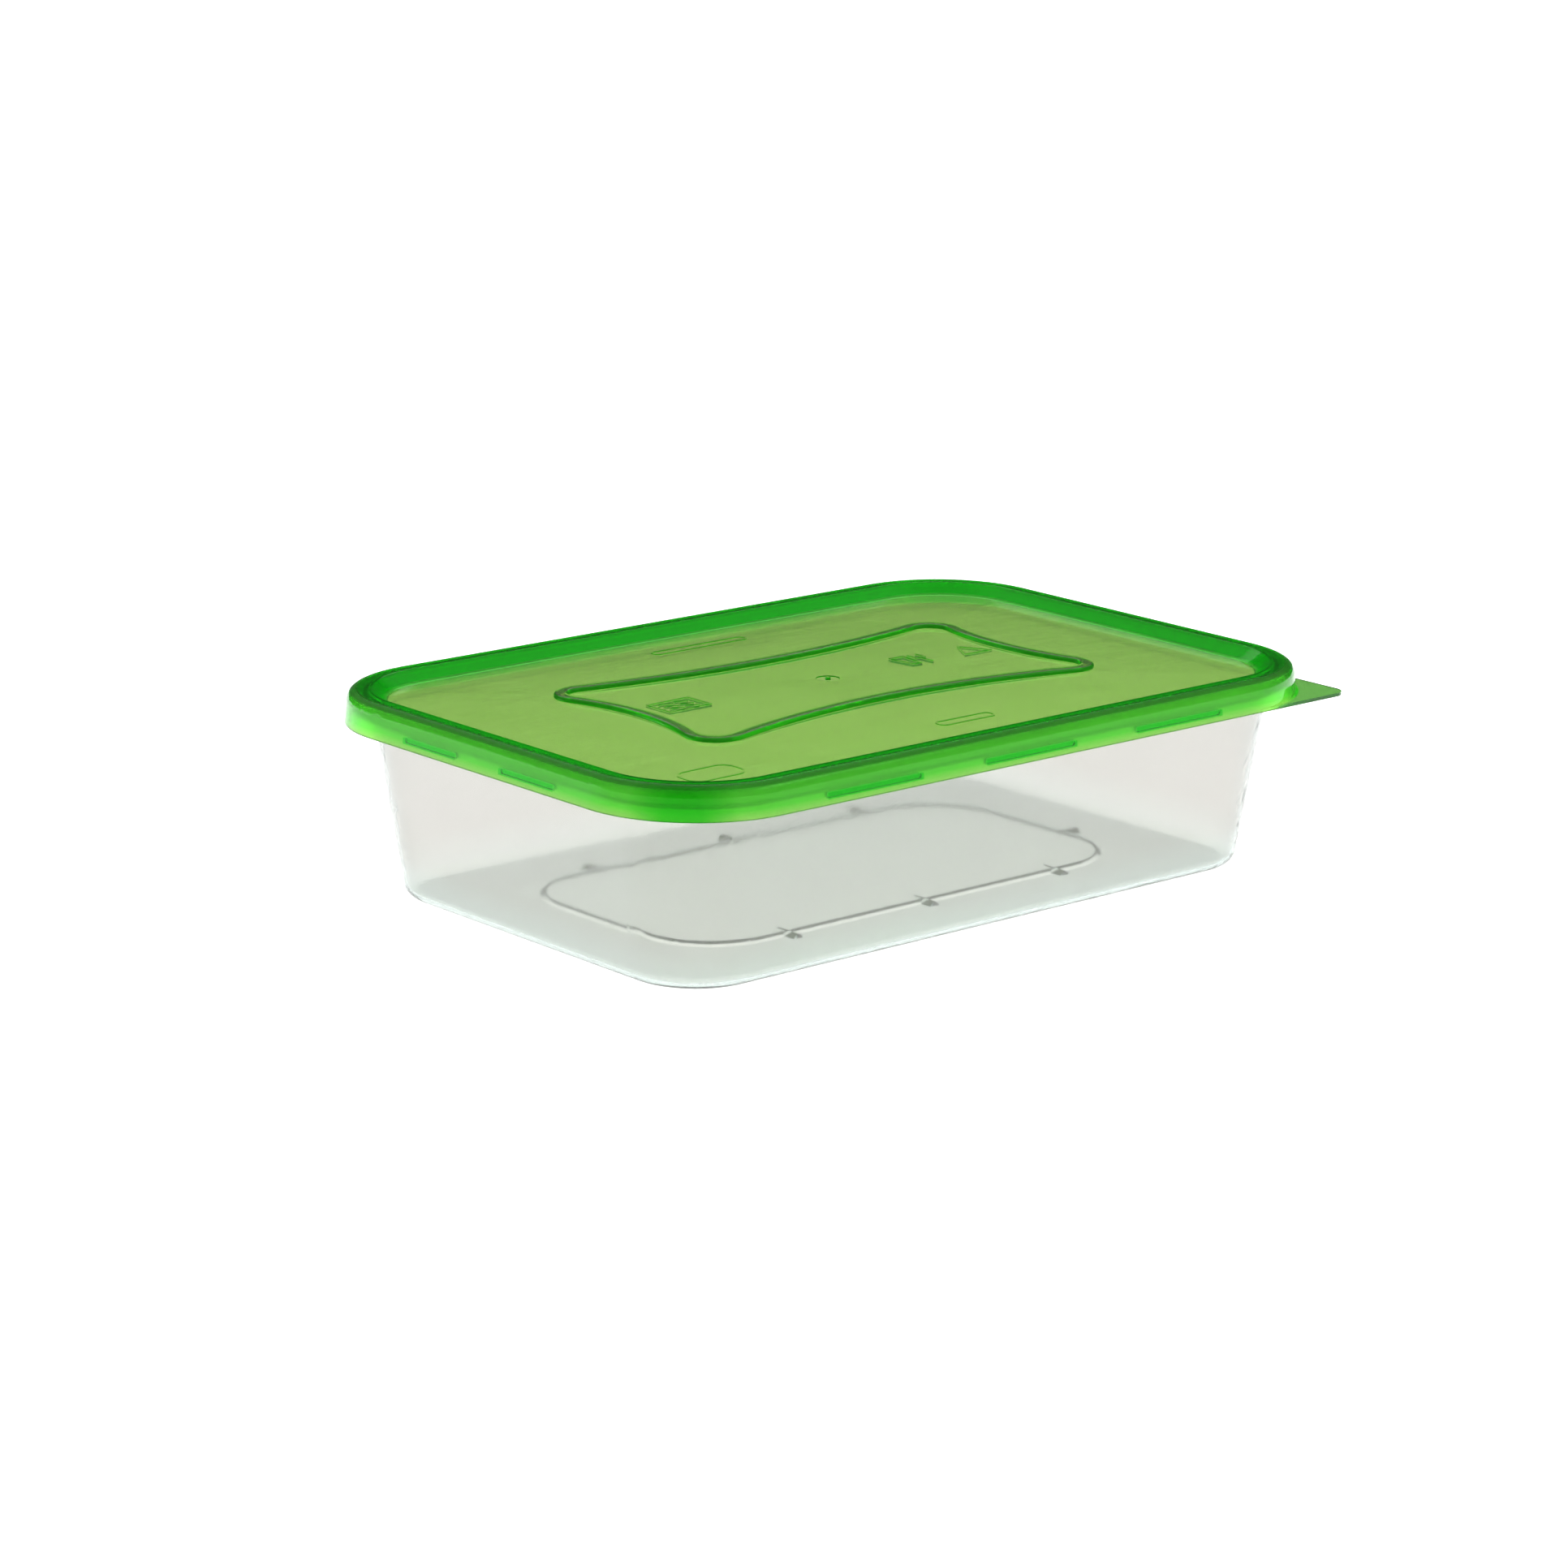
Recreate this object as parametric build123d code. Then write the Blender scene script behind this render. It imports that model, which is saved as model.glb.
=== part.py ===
"""Snap lid food container: a clear open tub and the green lid that snaps over its rim.

Millimetres, +Z up.  The origin is the middle of the footprint, on the surface the tub
stands on.  +X runs along the long side.  The lid's pull tab is at the +X, -Y corner.

Every ring of the tub and the lid is the same rounded rectangle drawn further inboard,
so "inset" always means the distance inboard of the lower edge of the lid's skirt.
"""
import os
from math import atan, cos, pi, radians, sin, tan

from build123d import *

# ---- overall sizes -----------------------------------------------------------------
LENGTH = 172.0          # lower edge of the skirt, the widest outline
WIDTH = 116.5
CORNER = 24.5           # corner radius of that outline
HEIGHT = 41.2           # standing surface to the lid's rim

# ---- lid ---------------------------------------------------------------------------
LID_WALL = 0.9
SKIRT_HEIGHT = 6.4      # lower edge of the skirt to the rim's crest
SKIRT_FLARE = 5.4       # degrees the skirt leans in as it rises
CREST_ROUND = 2.2       # outer edge of the crest
CREST_INNER = 5.1       # inset of the crest's inner edge
PANEL_DROP = 2.3        # crest down to the edge of the recessed panel
WALL_RUN = 3.2          # how far the wall down to the panel leans inboard
PANEL_CROWN = 1.1       # the panel bulges up this much in the middle
FOOT_ROUND = 0.5        # foot of the wall, where the panel starts
LIP_ROUND = 0.5         # inner edge of the crest

BEAD_CORNER_INSET = (32.0, 30.95)   # corners of the stacking bead, before rounding
BEAD_MIDDLE_INSET = (39.5, 39.65)   # its four sides bow inboard to these insets
BEAD_BEND = 5.0
BEAD_WIDTH = 2.8
BEAD_HEIGHT = 0.9
BEAD_ROUND = 0.7

GATE_DIAMETER = 4.8     # moulding gate in the middle of the panel
GATE_DEPTH = 0.25
GATE_NUB = 0.9          # width of the nub left in it
MARK_LINE = 0.35        # line width of the small raised pictograms
MARK_HEIGHT = 0.15
MARK_ROW = 2.0          # the row of pictograms stands this far off the middle
MARK_INSET = 18.75      # plates beside the long sides
CORNER_MARK_INSET = (23.0, 18.25)

TAB_THICKNESS = 0.7     # pull tab, squares off one corner of the skirt
TAB_TIP = 3.0

LUG_DEPTH = 0.65        # snap lugs inside the skirt
LUG_HEIGHT = 1.1
LUG_RISE = 1.15         # underside of a lug above the skirt's lower edge
LONG_LUG = 23.0
SHORT_LUG = 16.0
LUG_MARGIN = 11.0       # end of the outermost lug to the start of the corner

# ---- tub ---------------------------------------------------------------------------
TUB_WALL = 0.8
DRAFT = 8.5             # degrees the walls lean out
BASE_CORNER = 14.7
BASE_ROUND = 2.9        # outer edge of the base
RIM_FLANGE = 0.8        # thickness of the flange the lid's crest sits on
RIM_LIP = 0.7           # thickness of the lip that turns down from it
RIM_LIP_DROP = 2.6      # top of the rim to the lower edge of the lip
STEP_RISE = 1.4         # the wall steps out over this height, to make room for the lid
STEP_DROP = 3.65        # top of the rim to the top of that step
STEP_RUN = 2.0
FLOOR = 0.9
FOOT_WIDTH = 18.7       # foot ring under the floor, base edge to the raised middle
FOOT_BEND = 16.0        # corner radius of the raised middle
FLOOR_RAISE = 0.8
FLOOR_BEVEL = 0.9       # how far the step between the two leans
VENT_LENGTH = 6.0       # small gabled vents across that step
VENT_WIDTH = 2.6
VENT_HEIGHT = 0.6
VENT_MARGIN = 4.4       # outermost vent's side to the start of the middle's bend
SHORT_VENT_MARGIN = 1.9

# ---- clearances --------------------------------------------------------------------
CREST_GAP = 0.25        # tub rim to the roof of the lid's channel
PLUG_GAP = 0.35         # tub rim to the lid's inner wall
SNAP_GAP = 0.35         # tub lip to the lugs; on the real lid the lugs bite about 0.4

# ---- places worked out from the sizes above ----------------------------------------
SKIRT_Z = HEIGHT - SKIRT_HEIGHT
ROOF_Z = HEIGHT - LID_WALL
PANEL_Z = HEIGHT - PANEL_DROP
RIM_Z = ROOF_Z - CREST_GAP
STEP_TOP = RIM_Z - STEP_DROP
LUG_Z = SKIRT_Z + LUG_RISE
FLARE = tan(radians(SKIRT_FLARE))
WALL_LEAN = WALL_RUN / PANEL_DROP
PLUG_SHELL = LID_WALL * (1 + WALL_LEAN**2) ** 0.5
LUG_FACE = (LUG_RISE + LUG_HEIGHT) * FLARE + LID_WALL + LUG_DEPTH
LIP_INSET = LUG_FACE + SNAP_GAP
PLUG_INSET = CREST_INNER + WALL_LEAN * LID_WALL - PLUG_SHELL
SEAT_INSET = PLUG_INSET - PLUG_GAP - TUB_WALL
WALL_INSET = SEAT_INSET + STEP_RUN
STEP_Z = STEP_TOP - STEP_RISE
BASE_INSET = WALL_INSET + STEP_Z * tan(radians(DRAFT))
PANEL_HALF = (LENGTH / 2 - CREST_INNER, WIDTH / 2 - CREST_INNER)
BEAD_CORNER = (LENGTH / 2 - BEAD_CORNER_INSET[0], WIDTH / 2 - BEAD_CORNER_INSET[1])
BEAD_MIDDLE = (LENGTH / 2 - BEAD_MIDDLE_INSET[0], WIDTH / 2 - BEAD_MIDDLE_INSET[1])
LONG_LUG_X = LENGTH / 2 - CORNER - LUG_MARGIN - LONG_LUG / 2
SHORT_LUG_Y = WIDTH / 2 - CORNER - LUG_MARGIN - SHORT_LUG / 2
FOOT_INNER = BASE_INSET + FOOT_WIDTH


def outline(inset, z, corner=None):
    """The container's rounded rectangle, drawn inset and at height z."""
    radius = CORNER - inset if corner is None else corner
    return Pos(0, 0, z) * RectangleRounded(LENGTH - 2 * inset, WIDTH - 2 * inset, radius)


def frustum(low_inset, low_z, high_inset, high_z, low_corner=None):
    """A solid between two outlines."""
    return loft([outline(low_inset, low_z, low_corner), outline(high_inset, high_z)], ruled=True)


def slab(inset, low_z, high_z):
    return extrude(outline(inset, low_z), high_z - low_z)


def edges_at(solid, z):
    return [e for e in solid.edges() if abs(e.center().Z - z) < 0.01 and e.bounding_box().size.Z < 0.01]


# ---- lid ---------------------------------------------------------------------------
def panel_height(x, y):
    """Height of the panel's upper face: level at its edge, crowned in the middle."""
    across = (1 - (x / PANEL_HALF[0]) ** 2) * (1 - (y / PANEL_HALF[1]) ** 2)
    return PANEL_Z + PANEL_CROWN * across


def panel_face(offset):
    steps = [i / 5 - 1 for i in range(11)]
    rows = []
    for v in steps:
        row = [(u * PANEL_HALF[0], v * PANEL_HALF[1]) for u in steps]
        rows.append([Vector(x, y, panel_height(x, y) + offset) for x, y in row])
    return Face.make_surface_from_array_of_points(rows)


def above_panel(offset):
    return extrude(panel_face(offset), amount=8, dir=(0, 0, 1))


def below_panel(offset):
    return extrude(panel_face(offset), amount=PANEL_DROP, dir=(0, 0, -1))


def lean_frustum(shift, low_z, high_z):
    """A solid bounded by the leaning wall between crest and panel, moved inboard by shift."""
    low = CREST_INNER + shift + (HEIGHT - low_z) * WALL_LEAN
    high = CREST_INNER + shift + (HEIGHT - high_z) * WALL_LEAN
    return frustum(low, low_z, high, high_z)


def skirt_and_crest():
    body = frustum(0, SKIRT_Z, SKIRT_HEIGHT * FLARE, HEIGHT)
    body = fillet(edges_at(body, HEIGHT), CREST_ROUND)
    low = SKIRT_Z - 1
    hollow = frustum(LID_WALL - FLARE, low, LID_WALL + (ROOF_Z - SKIRT_Z) * FLARE, ROOF_Z)
    return body - hollow


def panel_tray():
    """The wall down from the crest and the crowned panel it carries."""
    plug = lean_frustum(-PLUG_SHELL, PANEL_Z - 1.5, HEIGHT - 0.3) & above_panel(-LID_WALL)
    return plug - tray_space()


def tray_space():
    space = lean_frustum(0, PANEL_Z - 1, HEIGHT + 1) & above_panel(0)
    foot = [e for e in space.edges() if e.center().Z < PANEL_Z + 0.3]
    return fillet(foot, FOOT_ROUND)


def bead_plan(grow):
    """A rectangle whose four sides bow inboard, moved outboard by grow all round."""
    cx, cy = BEAD_CORNER
    mx, my = BEAD_MIDDLE
    long_side = 2 * atan((cy - my) / cx)
    short_side = 2 * atan((cx - mx) / cy)
    half = (pi / 2 - long_side - short_side) / 2
    shift = grow / sin(half)
    cx, cy = cx + shift * cos(long_side + half), cy + shift * sin(long_side + half)
    mx, my = mx + grow, my + grow
    sides = [
        ThreePointArc((-cx, cy), (0, my), (cx, cy)),
        ThreePointArc((cx, cy), (mx, 0), (cx, -cy)),
        ThreePointArc((cx, -cy), (0, -my), (-cx, -cy)),
        ThreePointArc((-cx, -cy), (-mx, 0), (-cx, cy)),
    ]
    plan = make_face(Curve() + sides)
    return fillet(plan.vertices(), BEAD_BEND + grow)


def bead_band(width):
    return bead_plan(width / 2) - bead_plan(-width / 2)


def stand_on_panel(plan, height):
    """Raise a plan drawing off the crowned panel by height."""
    column = extrude(Pos(0, 0, PANEL_Z - 0.3) * plan, PANEL_CROWN + height + 1)
    return column & below_panel(height)


def bead():
    ridge = stand_on_panel(bead_band(BEAD_WIDTH), BEAD_HEIGHT)
    top = [f for f in ridge.faces() if f.normal_at().Z > 0.9]
    return fillet(top[0].edges(), BEAD_ROUND)


def bead_groove():
    """The hollow under the bead, so that the lid's wall stays even."""
    plan = bead_band(BEAD_WIDTH - 2 * LID_WALL * 0.75)
    return stand_on_panel(plan, BEAD_HEIGHT - LID_WALL + 0.1) & above_panel(-LID_WALL - 1)


def wave(length, swing, y):
    points = [(length * (i / 8 - 0.5), y + swing * sin(pi * i / 2)) for i in range(9)]
    return Spline(*points)


def oven_mark():
    """Generic heating pictogram: three waves in a frame."""
    frame = Rectangle(10, 7).wires()[0]
    return trace(list(frame.edges()) + [wave(7, 0.5, y) for y in (-1.8, 0, 1.8)], MARK_LINE)


def cup_mark():
    """Generic food-contact pictogram: a tumbler beside a two-pronged fork."""
    tumbler = Polyline((-3.4, 3.2), (-2.6, -3), (-0.6, -3), (0.2, 3.2), close=True)
    fork = [Line((2.4, -3.2), (2.4, 0.4)), Polyline((1.3, 3.2), (1.3, 0.4), (3.5, 0.4), (3.5, 3.2))]
    return trace(list(tumbler.edges()) + fork[:1] + list(fork[1].edges()), MARK_LINE)


def triangle_mark():
    return trace(Polyline((-3.4, -2.8), (3.4, -2.8), (0, 3.1), close=True).edges(), MARK_LINE)


def blank_plate(length, width):
    """A plain rounded frame where a maker would put words."""
    return RectangleRounded(length, width, width * 0.4) - RectangleRounded(
        length - 2 * MARK_LINE, width - 2 * MARK_LINE, width * 0.4 - MARK_LINE
    )


def marks():
    """Each mark's plan drawing with the place of its middle."""
    end = BEAD_MIDDLE[0]
    side = WIDTH / 2 - MARK_INSET
    corner_x, corner_y = CORNER_MARK_INSET
    return (
        (oven_mark(), 10.5 - end, MARK_ROW),
        (cup_mark(), end - 22.2, MARK_ROW),
        (triangle_mark(), end - 7.2, MARK_ROW),
        (blank_plate(13, 7.5), corner_x - LENGTH / 2, corner_y - WIDTH / 2),
        (blank_plate(24, 3), 0, side),
        (blank_plate(14, 3), 0, -side),
    )


def gate(lid):
    """A shallow dimple with the nub of the moulding gate standing in it."""
    z = PANEL_Z + PANEL_CROWN
    dimple = Pos(0, 0, z - GATE_DEPTH) * Cylinder(
        GATE_DIAMETER / 2, 3, align=(Align.CENTER, Align.CENTER, Align.MIN)
    )
    nub = Pos(0, 0, z - GATE_DEPTH - 0.2) * Cone(
        GATE_NUB / 2 + 0.2, GATE_NUB / 2, GATE_DEPTH + 0.5, align=(Align.CENTER, Align.CENTER, Align.MIN)
    )
    return lid - dimple + nub


def lug(length):
    """One snap lug, lying along X with its back on the XZ plane and its nose toward +Y."""
    nose = LUG_DEPTH + 0.4
    profile = SlotOverall(length, LUG_HEIGHT)
    bar = extrude(Plane.XZ * profile, -nose)
    return Pos(0, -0.4, 0) * bar


def lugs():
    z = LUG_Z + LUG_HEIGHT / 2
    back = LUG_FACE - LUG_DEPTH
    out = []
    for x in (-LONG_LUG_X, 0, LONG_LUG_X):
        out.append(Pos(x, back - WIDTH / 2, z) * lug(LONG_LUG))
        out.append(Pos(x, WIDTH / 2 - back, z) * Rot(0, 0, 180) * lug(LONG_LUG))
    for y in (-SHORT_LUG_Y, SHORT_LUG_Y):
        out.append(Pos(back - LENGTH / 2, y, z) * Rot(0, 0, -90) * lug(SHORT_LUG))
        out.append(Pos(LENGTH / 2 - back, y, z) * Rot(0, 0, 90) * lug(SHORT_LUG))
    return out


def pull_tab():
    """Thin plate that squares off the +X, -Y corner of the skirt."""
    square = Pos((LENGTH - CORNER) / 2, (CORNER - WIDTH) / 2) * Rectangle(CORNER, CORNER)
    tip = square.vertices().sort_by(Axis.X)[-2:].sort_by(Axis.Y)[0]
    plate = fillet(tip, TAB_TIP) - outline(LID_WALL / 2, 0)
    return extrude(Pos(0, 0, SKIRT_Z) * plate, TAB_THICKNESS)


def snap_lid():
    shell = skirt_and_crest() - lean_frustum(0, ROOF_Z - 1, HEIGHT + 1)
    lid = shell + panel_tray()
    crest = lid.faces().sort_by(Axis.Z)[-1]
    lid = fillet(crest.inner_wires()[0].edges(), LIP_ROUND)
    lid = lid + bead() - bead_groove()
    lid = gate(lid)
    for plan, x, y in marks():
        lid = lid + stand_on_panel(Pos(x, y) * plan, MARK_HEIGHT)
    for piece in lugs():
        lid = lid + piece
    return lid + pull_tab()


# ---- tub ---------------------------------------------------------------------------
def tub_body():
    wall = frustum(BASE_INSET, 0, WALL_INSET, STEP_Z, BASE_CORNER)
    wall = fillet(edges_at(wall, 0), BASE_ROUND)
    step = frustum(WALL_INSET, STEP_Z, SEAT_INSET, STEP_TOP)
    seat = slab(SEAT_INSET, STEP_TOP, RIM_Z)
    flange = slab(LIP_INSET, RIM_Z - RIM_FLANGE, RIM_Z)
    lip = slab(LIP_INSET, RIM_Z - RIM_LIP_DROP, RIM_Z) - slab(
        LIP_INSET + RIM_LIP, RIM_Z - RIM_LIP_DROP - 1, RIM_Z - RIM_FLANGE
    )
    return wall + step + seat + flange + lip


def tub_space():
    """The food space: the tub's walls moved inboard by the wall thickness."""
    lean = tan(radians(DRAFT))
    low = BASE_INSET + TUB_WALL - FLOOR * lean
    high = WALL_INSET + TUB_WALL
    wall = frustum(low, FLOOR, high, STEP_Z + 0.4, BASE_CORNER - TUB_WALL)
    wall = fillet(edges_at(wall, FLOOR), BASE_ROUND - TUB_WALL)
    step = frustum(high, STEP_Z + 0.4, SEAT_INSET + TUB_WALL, STEP_TOP + 0.4)
    return wall + step + slab(SEAT_INSET + TUB_WALL, STEP_TOP + 0.4, RIM_Z + 1)


def raised_middle(low_z, grow):
    """The floor's middle stands on this bevelled block."""
    length = LENGTH - 2 * FOOT_INNER + 2 * grow
    width = WIDTH - 2 * FOOT_INNER + 2 * grow
    low = Pos(0, 0, low_z) * RectangleRounded(length, width, FOOT_BEND + grow)
    high = Pos(0, 0, low_z + FLOOR_RAISE) * RectangleRounded(
        length - 2 * FLOOR_BEVEL, width - 2 * FLOOR_BEVEL, FOOT_BEND + grow - FLOOR_BEVEL
    )
    return loft([low, high], ruled=True)


def vents():
    """Gabled ribs across the step: three along each long side, one on the +X side."""
    half = VENT_WIDTH / 2
    gable = make_face(Polyline((-half, 0), (half, 0), (0, VENT_HEIGHT + 0.3), close=True))
    rib = extrude(Plane.XZ * gable, VENT_LENGTH / 2, both=True)
    step_x = LENGTH / 2 - FOOT_INNER
    step_y = WIDTH / 2 - FOOT_INNER
    last_x = step_x - FOOT_BEND - VENT_MARGIN - half
    last_y = step_y - FOOT_BEND - SHORT_VENT_MARGIN - half
    z = FLOOR - 0.3 + FLOOR_RAISE / 2
    out = [Pos(x, y, z) * rib for x in (-last_x, 0, last_x) for y in (-step_y, step_y)]
    out.append(Pos(step_x, -last_y, z) * Rot(0, 0, 90) * rib)
    return out


def container_tub():
    tub = tub_body() - tub_space()
    tub = tub + raised_middle(FLOOR, FLOOR * 0.4) - raised_middle(0, 0)
    for rib in vents():
        tub = tub + rib
    return tub


os.makedirs("parts", exist_ok=True)
for name, shape in (("container_tub", container_tub()), ("snap_lid", snap_lid())):
    solid = shape.solid() if len(shape.solids()) == 1 else shape
    print(name, "solids", len(shape.solids()), "volume", round(shape.volume, 1), shape.bounding_box())
    export_step(solid, f"parts/{name}.step")
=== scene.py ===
"""Looks of the snap lid food container: moulded polypropylene, a clear tub and a green lid."""

from math import cos, radians, sin

import bpy
from mathutils import Matrix, Vector

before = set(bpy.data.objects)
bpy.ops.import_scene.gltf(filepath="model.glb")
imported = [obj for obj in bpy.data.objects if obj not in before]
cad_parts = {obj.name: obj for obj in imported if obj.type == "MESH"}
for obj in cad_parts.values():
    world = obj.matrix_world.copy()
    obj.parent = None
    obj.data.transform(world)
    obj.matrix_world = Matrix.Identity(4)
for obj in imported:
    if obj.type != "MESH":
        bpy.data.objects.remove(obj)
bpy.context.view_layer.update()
scene = bpy.context.scene
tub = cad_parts["container_tub"]
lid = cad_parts["snap_lid"]
MM = 0.001

# The lid's outline at the skirt's lower edge and its heights, as the CAD has them.
HALF_LENGTH = 86.0 * MM
HALF_WIDTH = 58.25 * MM
CORNER = 24.5 * MM
SKIRT_LOW = 34.8 * MM
SKIRT_LEAN = 0.605 * MM
TOP = 41.2 * MM

# The snap lugs behind the skirt: their spans along the sides, their heights, their depth.
MIDDLE_LUG = (0.0, 11.5 * MM)
OUTER_LUG = (27.5 * MM, 50.5 * MM)
SHORT_SIDE_LUG = (6.75 * MM, 22.75 * MM)
LUG_HEIGHTS = (35.95 * MM, 37.05 * MM)
LUG_DEPTH = (1.9 * MM, 2.1 * MM)

# The tub: half the size of the floor's raised middle, and where the floor turns to wall.
FLOOR_MIDDLE = (55.0 * MM, 27.0 * MM)
FLOOR_TO_WALL = (2.0 * MM, 9.0 * MM)


# ---- node helpers ------------------------------------------------------------------
def set_range(node, start, end, low, high):
    """Sets a Map Range node to go from low to high as its value goes from start to end."""
    node.inputs["From Min"].default_value = start
    node.inputs["From Max"].default_value = end
    node.inputs["To Min"].default_value = low
    node.inputs["To Max"].default_value = high


class Shader:
    """A material built from a Principled surface, with short calls for its nodes."""

    def __init__(self, name):
        self.material = bpy.data.materials.new(name)
        self.material.use_nodes = True
        self.tree = self.material.node_tree
        self.surface = self.tree.nodes["Principled BSDF"]
        self.output = self.tree.nodes["Material Output"]
        self.place = self.node("ShaderNodeTexCoord").outputs["Object"]

    def node(self, kind, **values):
        """A new node, with each value given to the input or the setting of that name."""
        made = self.tree.nodes.new(kind)
        for key, value in values.items():
            if key in made.inputs:
                self.feed(made.inputs[key], value)
            else:
                setattr(made, key, value)
        return made

    def feed(self, socket, value):
        """Gives the socket a link if value is another node's output, else a constant."""
        if isinstance(value, bpy.types.NodeSocket):
            self.tree.links.new(value, socket)
        else:
            socket.default_value = value

    def set(self, **values):
        """Sets inputs of the surface, with underscores for the spaces in their names."""
        for key, value in values.items():
            self.feed(self.surface.inputs[key.replace("_", " ")], value)

    def noise(self, size, detail=2.0, stretch=(1, 1, 1)):
        """Noise whose features are about size metres across, longer where stretch is larger."""
        mapped = self.node("ShaderNodeMapping", Vector=self.place)
        mapped.inputs["Scale"].default_value = [1 / (size * s) for s in stretch]
        made = self.node("ShaderNodeTexNoise", Vector=mapped.outputs[0], Scale=1.0, Detail=detail)
        return made.outputs["Fac"]

    def between(self, factor, low, high, start=0.0, end=1.0):
        """A number that goes from low to high as factor goes from start to end."""
        made = self.node("ShaderNodeMapRange", Value=factor)
        set_range(made, start, end, low, high)
        return made.outputs[0]

    def math(self, operation, a, b=0.0):
        made = self.node("ShaderNodeMath", operation=operation)
        self.feed(made.inputs[0], a)
        self.feed(made.inputs[1], b)
        return made.outputs[0]

    def vector(self, operation, a, b=(0, 0, 0)):
        made = self.node("ShaderNodeVectorMath", operation=operation)
        self.feed(made.inputs[0], a)
        self.feed(made.inputs[1], b)
        return made.outputs[0]

    def axes(self, vector):
        """The X, Y and Z outputs of a vector."""
        return self.node("ShaderNodeSeparateXYZ", Vector=vector).outputs

    def blend(self, factor, a, b):
        """Colour a where factor is 0, colour b where it is 1."""
        made = self.node("ShaderNodeMix", data_type="RGBA")
        self.feed(made.inputs[0], factor)
        self.feed(made.inputs[6], a)
        self.feed(made.inputs[7], b)
        return made.outputs[2]

    def outline(self):
        """The inset from the skirt's lower edge, and the share of the way round a corner."""
        middle = (HALF_LENGTH - CORNER, HALF_WIDTH - CORNER, 1.0)
        point = self.vector("ABSOLUTE", self.place)
        past = self.vector("MAXIMUM", self.vector("SUBTRACT", point, middle), (0, 0, 0))
        length = self.node("ShaderNodeVectorMath", operation="LENGTH")
        self.feed(length.inputs[0], past)
        turn = self.math("MULTIPLY", self.axes(past)["X"], self.axes(past)["Y"])
        inset = self.math("SUBTRACT", CORNER, length.outputs["Value"])
        return inset, self.math("MULTIPLY", turn, 2 / CORNER**2)

    def band(self, value, low, high, soft):
        """1 where value is from low to high, fading to 0 over soft on both sides."""
        rise = self.between(value, 0, 1, low - soft, low)
        fall = self.between(value, 1, 0, high, high + soft)
        return self.math("MULTIPLY", rise, fall)

    def lug_places(self):
        """1 where a snap lug stands behind the skirt, whatever the height."""
        split = self.axes(self.vector("ABSOLUTE", self.place))
        x, y = split["X"], split["Y"]
        soft = 0.3 * MM
        long_side = self.math("ADD", self.band(x, *MIDDLE_LUG, soft), self.band(x, *OUTER_LUG, soft))
        near_long_side = self.between(y, 0, 1, 40 * MM, 50 * MM)
        long_side = self.math("MULTIPLY", long_side, near_long_side)
        near_short_side = self.between(x, 0, 1, 70 * MM, 80 * MM)
        short_side = self.math("MULTIPLY", self.band(y, *SHORT_SIDE_LUG, soft), near_short_side)
        return self.math("MAXIMUM", long_side, short_side)

    def steep(self, low, high):
        """1 on faces that stand up, 0 on faces that lie flat, by their normal's height."""
        normal = self.vector("ABSOLUTE", self.node("ShaderNodeTexCoord").outputs["Normal"])
        return self.between(self.axes(normal)["Z"], 1, 0, low, high)

    def absorb(self, color, density):
        """Colours the light by the length of its path through the plastic."""
        volume = self.node("ShaderNodeVolumeAbsorption")
        volume.inputs["Color"].default_value = (*color, 1)
        volume.inputs["Density"].default_value = density
        self.tree.links.new(volume.outputs[0], self.output.inputs["Volume"])

    def bump(self, height, depth):
        """Surface grain: height from 0 to 1 stands for depth metres."""
        made = self.node("ShaderNodeBump", Height=height)
        made.inputs["Strength"].default_value = 1.0
        made.inputs["Distance"].default_value = depth
        self.tree.links.new(made.outputs[0], self.surface.inputs["Normal"])


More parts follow.
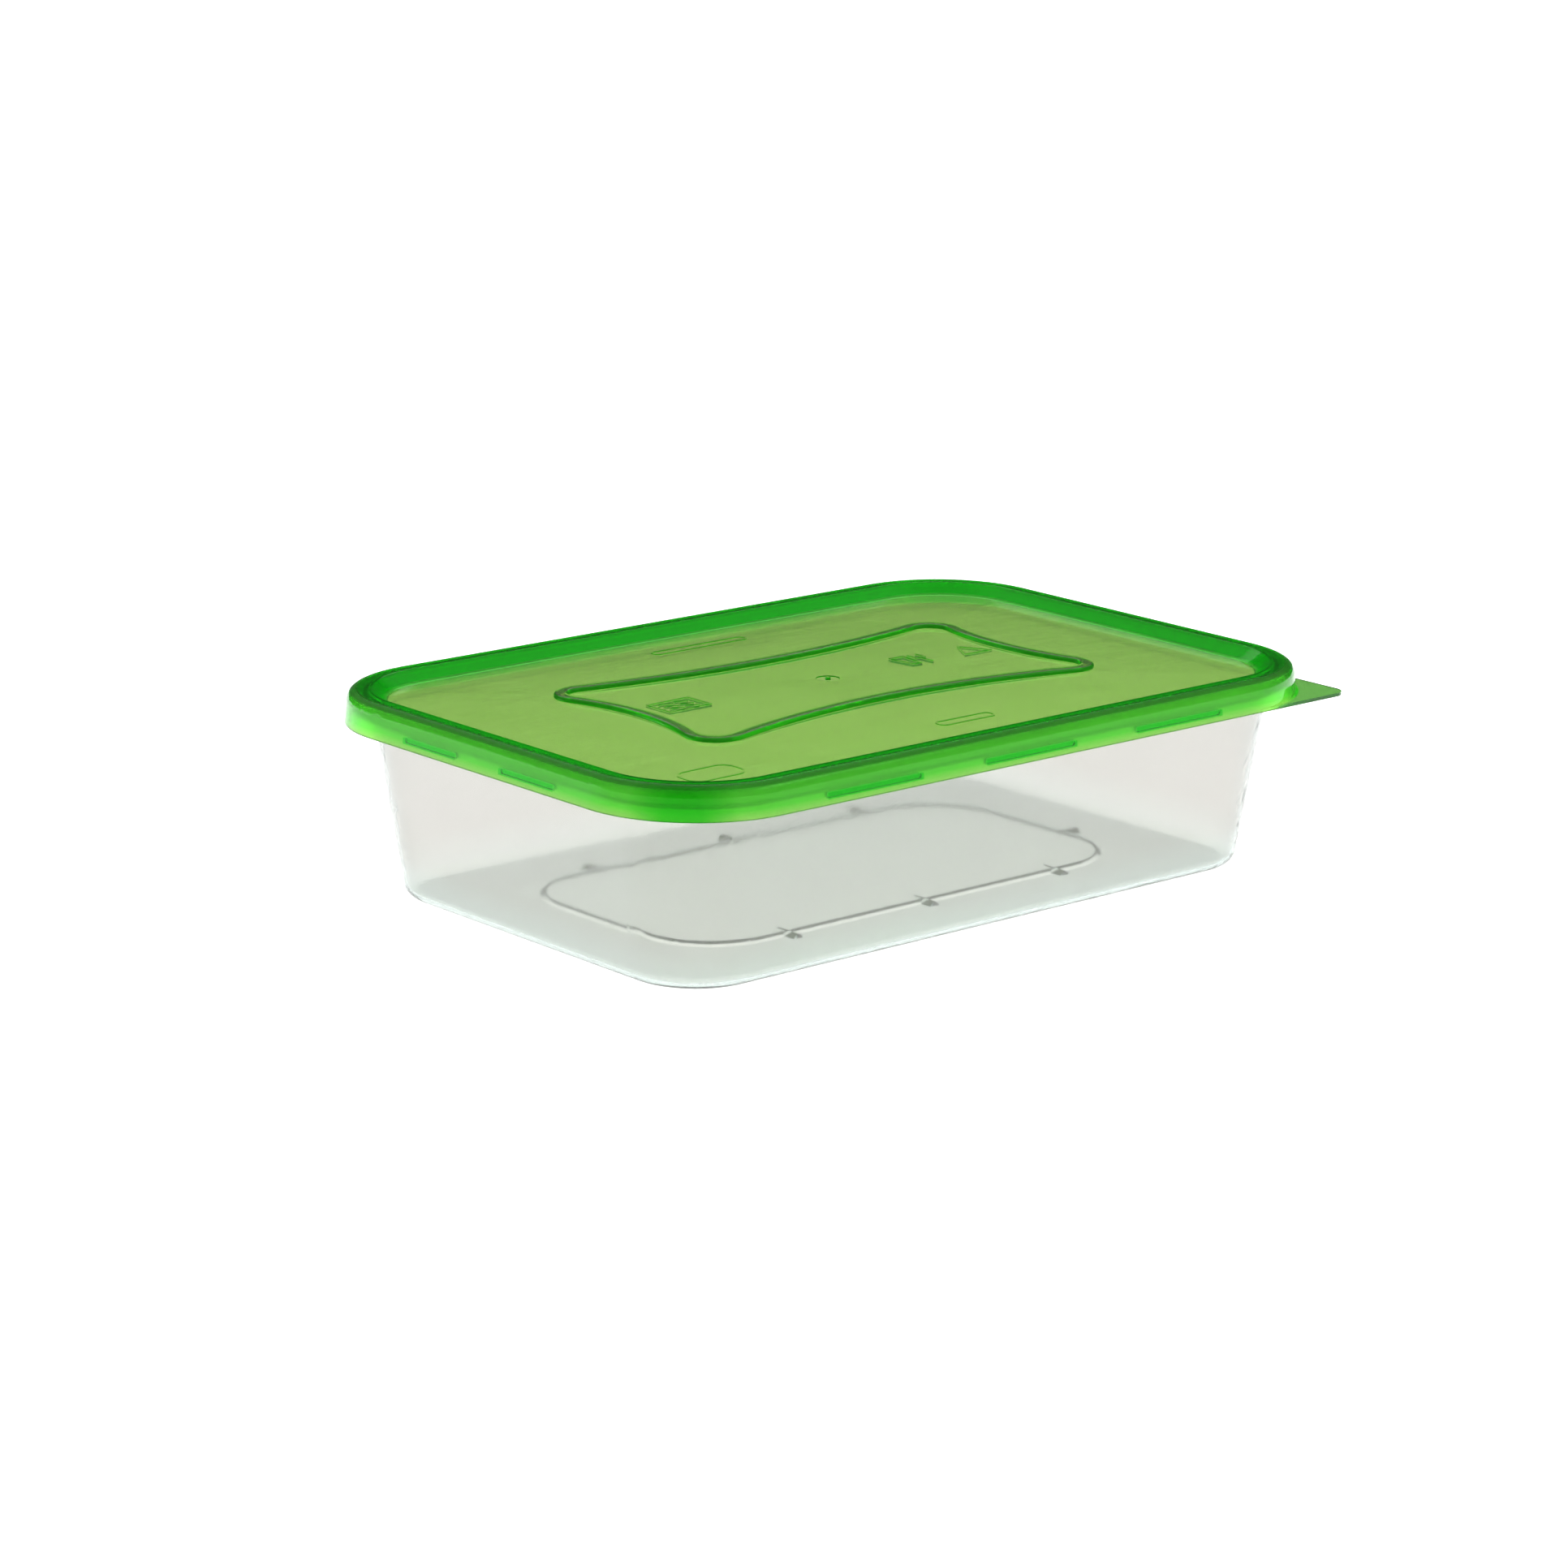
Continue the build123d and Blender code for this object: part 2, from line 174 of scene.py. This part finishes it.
def lid_plastic():
    """Glossy green polypropylene: clear, tinted in its depth, with faint flow marks."""
    s = Shader("lid_plastic")
    cloud = s.noise(14 * MM, 3.0)
    fine = s.noise(1.2 * MM, 2.0)
    flow = s.noise(6 * MM, 2.0, (6, 1, 1))
    inset, turn = s.outline()
    height = s.axes(s.place)["Z"]
    depth = s.math("SUBTRACT", inset, s.between(height, 0, SKIRT_LEAN, SKIRT_LOW, TOP))

    # Where each zone is.
    above_lip = s.between(height, 0, 1, SKIRT_LOW + 0.2 * MM, SKIRT_LOW + 1.8 * MM)
    on_skirt = s.between(depth, 1, 0, 1.2 * MM, 2.4 * MM)
    behind_skirt = s.math("MULTIPLY", on_skirt, s.between(depth, 0, 1, 0.4 * MM, 0.5 * MM))
    shaded_corner = s.between(turn, 0, 0.9, 0.62, 0.95)
    on_panel = s.between(inset, 0, 1, 7.6 * MM, 8.8 * MM)
    on_tab = s.between(inset, 1, 0, -0.6 * MM, -0.3 * MM)
    steep = s.steep(0.80, 0.97)
    inner_steep = s.math("MULTIPLY", steep, s.between(inset, 0, 1, 2.9 * MM, 3.3 * MM))
    lug = s.math("MULTIPLY", s.lug_places(), s.band(height, *LUG_HEIGHTS, 0.15 * MM))
    lug = s.math("MULTIPLY", lug, s.between(depth, 1, 0, *LUG_DEPTH))

    # The green of each zone.
    panel = s.blend(cloud, (0.86, 0.94, 0.56, 1), (0.94, 0.99, 0.64, 1))
    skirt = s.blend(above_lip, (0.62, 0.95, 0.38, 1), (0.24, 0.95, 0.14, 1))
    crest = (0.02, 0.98, 0.03, 1)
    # Painted shade: a deeper, darker green over the middle of each corner of the lid.
    corner = (0.01, 0.70, 0.01, 1)
    tab = (0.32, 0.60, 0.30, 1)
    # Painted shade: a deeper green for the steep faces on the panel, the sides of the marks and of
    # the bead.
    steep_side_shade = (0.10, 0.92, 0.05, 1)
    lug_bar = (0.002, 0.72, 0.03, 1)
    color = s.blend(on_skirt, crest, skirt)
    color = s.blend(shaded_corner, color, corner)
    color = s.blend(on_panel, color, panel)
    color = s.blend(on_tab, color, tab)
    # Steep faces on the panel take the painted shade, for the darker look where light passes a long
    # way through the plastic.
    color = s.blend(s.math("MULTIPLY", steep, on_panel), color, steep_side_shade)
    s.set(Base_Color=s.blend(s.math("MULTIPLY", lug, 0.9), color, lug_bar))

    gloss = s.between(fine, 0.05, 0.09)
    s.set(Roughness=s.math("ADD", gloss, s.math("MULTIPLY", behind_skirt, 0.35)))
    s.set(Transmission_Weight=s.between(inner_steep, 0.84, 0.58))
    s.set(IOR=1.43, Specular_Tint=(0.25, 0.90, 0.20, 1))
    s.bump(s.math("ADD", flow, s.between(fine, 0, 0.15)), 0.03 * MM)
    s.absorb((0.60, 0.97, 0.16), 1350)
    return s.material


def tub_plastic():
    """Clear polypropylene with a slight milky haze and a cool grey depth."""
    s = Shader("tub_plastic")
    cloud = s.noise(18 * MM, 3.0)
    fine = s.noise(0.9 * MM, 2.0)
    split = s.axes(s.vector("ABSOLUTE", s.place))
    across_x = s.band(split["X"], 0, FLOOR_MIDDLE[0], 3 * MM)
    across_y = s.band(split["Y"], 0, FLOOR_MIDDLE[1], 3 * MM)
    painted_light_middle = s.math("MULTIPLY", across_x, across_y)
    on_wall = s.between(s.axes(s.place)["Z"], 0, 1, *FLOOR_TO_WALL)
    # Painted light: the raised middle of the floor is coloured lighter than the foot ring around it,
    # for the brighter look there.
    floor = s.blend(painted_light_middle, (0.95, 0.935, 0.92, 1), (1.0, 0.99, 0.97, 1))
    wall = s.blend(cloud, (0.885, 0.825, 0.81, 1), (0.91, 0.855, 0.835, 1))
    s.set(Base_Color=s.blend(on_wall, floor, wall))
    s.set(Roughness=s.between(fine, 0.06, 0.10))
    s.set(Transmission_Weight=0.89, IOR=1.31)
    s.bump(fine, 0.004 * MM)
    s.absorb((0.54, 0.69, 0.68), 360)
    return s.material


def dress(node, material):
    """Gives a CAD node its material, and normals that stay true on its large flat faces."""
    node.data.materials.clear()
    node.data.materials.append(material)
    node.data.shade_smooth()
    node.data.set_sharp_from_angle(angle=radians(28))
    even = node.modifiers.new("even_normals", "WEIGHTED_NORMAL")
    even.mode = "FACE_AREA"
    even.weight = 100
    even.keep_sharp = True


# ---- studio ------------------------------------------------------------------------
def studio_floor():
    """A pale table that gives off light, just below the tub's foot so the two don't mix."""
    mesh = bpy.data.meshes.new("floor")
    half = 20.0
    low = -0.1 * MM
    corners = [(-half, -half, low), (half, -half, low), (half, half, low), (-half, half, low)]
    mesh.from_pydata(corners, [], [(0, 1, 2, 3)])
    floor = bpy.data.objects.new("studio_floor", mesh)
    scene.collection.objects.link(floor)
    s = Shader("floor")
    s.set(Base_Color=s.blend(s.noise(0.2), (0.60, 0.60, 0.60, 1), (0.62, 0.62, 0.62, 1)))
    s.set(Roughness=0.6)
    s.set(Emission_Color=(1, 1, 1, 1), Emission_Strength=1.42)
    mesh.materials.append(s.material)


def softbox(name, azimuth, elevation, distance, size, power):
    """A rectangular light that looks at the container from that side, unseen by the camera."""
    a, e = radians(azimuth), radians(elevation)
    away = Vector((sin(a) * cos(e), -cos(a) * cos(e), sin(e)))
    light = bpy.data.lights.new(name, "AREA")
    light.shape = "RECTANGLE"
    light.size, light.size_y = size
    light.energy = power
    lamp = bpy.data.objects.new(name, light)
    lamp.location = away * distance + Vector((0, 0, 0.02))
    lamp.rotation_mode = "QUATERNION"
    lamp.rotation_quaternion = away.to_track_quat("Z", "Y")
    lamp.visible_camera = False
    scene.collection.objects.link(lamp)


def room(walls, ceiling):
    """Surroundings that brighten from dim walls up to the ceiling, to keep the gloss low."""
    world = bpy.data.worlds.new("studio")
    world.use_nodes = True
    nodes, links = world.node_tree.nodes, world.node_tree.links
    place = nodes.new("ShaderNodeTexCoord")
    split = nodes.new("ShaderNodeSeparateXYZ")
    rise = nodes.new("ShaderNodeMapRange")
    set_range(rise, 0.4, 0.85, walls, ceiling)
    links.new(place.outputs["Generated"], split.inputs[0])
    links.new(split.outputs["Z"], rise.inputs["Value"])
    background = nodes["Background"]
    background.inputs["Color"].default_value = (1, 1, 1, 1)
    links.new(rise.outputs[0], background.inputs["Strength"])
    scene.world = world


def camera(azimuth, elevation, roll, distance, lens, right, up):
    """A camera that looks at the origin from that side, then slides by right and up."""
    a, e, r = radians(azimuth), radians(elevation), radians(roll)
    back = Vector((sin(a) * cos(e), -cos(a) * cos(e), sin(e)))
    level = Vector((0, 0, 1)).cross(back).normalized()
    upright = back.cross(level)
    side = level * cos(r) + upright * sin(r)
    top = upright * cos(r) - level * sin(r)
    data = bpy.data.cameras.new("camera")
    data.lens = lens
    data.sensor_width = 36
    data.clip_end = 50
    made = bpy.data.objects.new("camera", data)
    turn = Matrix((side, top, back)).transposed().to_4x4()
    made.matrix_world = Matrix.Translation(back * distance + side * right + top * up) @ turn
    scene.collection.objects.link(made)
    scene.camera = made


dress(lid, lid_plastic())
dress(tub, tub_plastic())
studio_floor()
room(walls=0.03, ceiling=0.60)
softbox("softbox_left", azimuth=-139, elevation=3, distance=1.2, size=(0.7, 0.2), power=1.0)
softbox("softbox_right", azimuth=35, elevation=40, distance=1.2, size=(0.5, 0.3), power=1.0)
softbox("softbox_back", azimuth=150, elevation=36, distance=1.2, size=(1.0, 0.25), power=0.5)
camera(
    azimuth=-40.75,
    elevation=14.65,
    roll=0.497,
    distance=0.9123,
    lens=105.98,
    right=-8.25 * MM,
    up=18.03 * MM,
)
scene.view_settings.view_transform = "Standard"
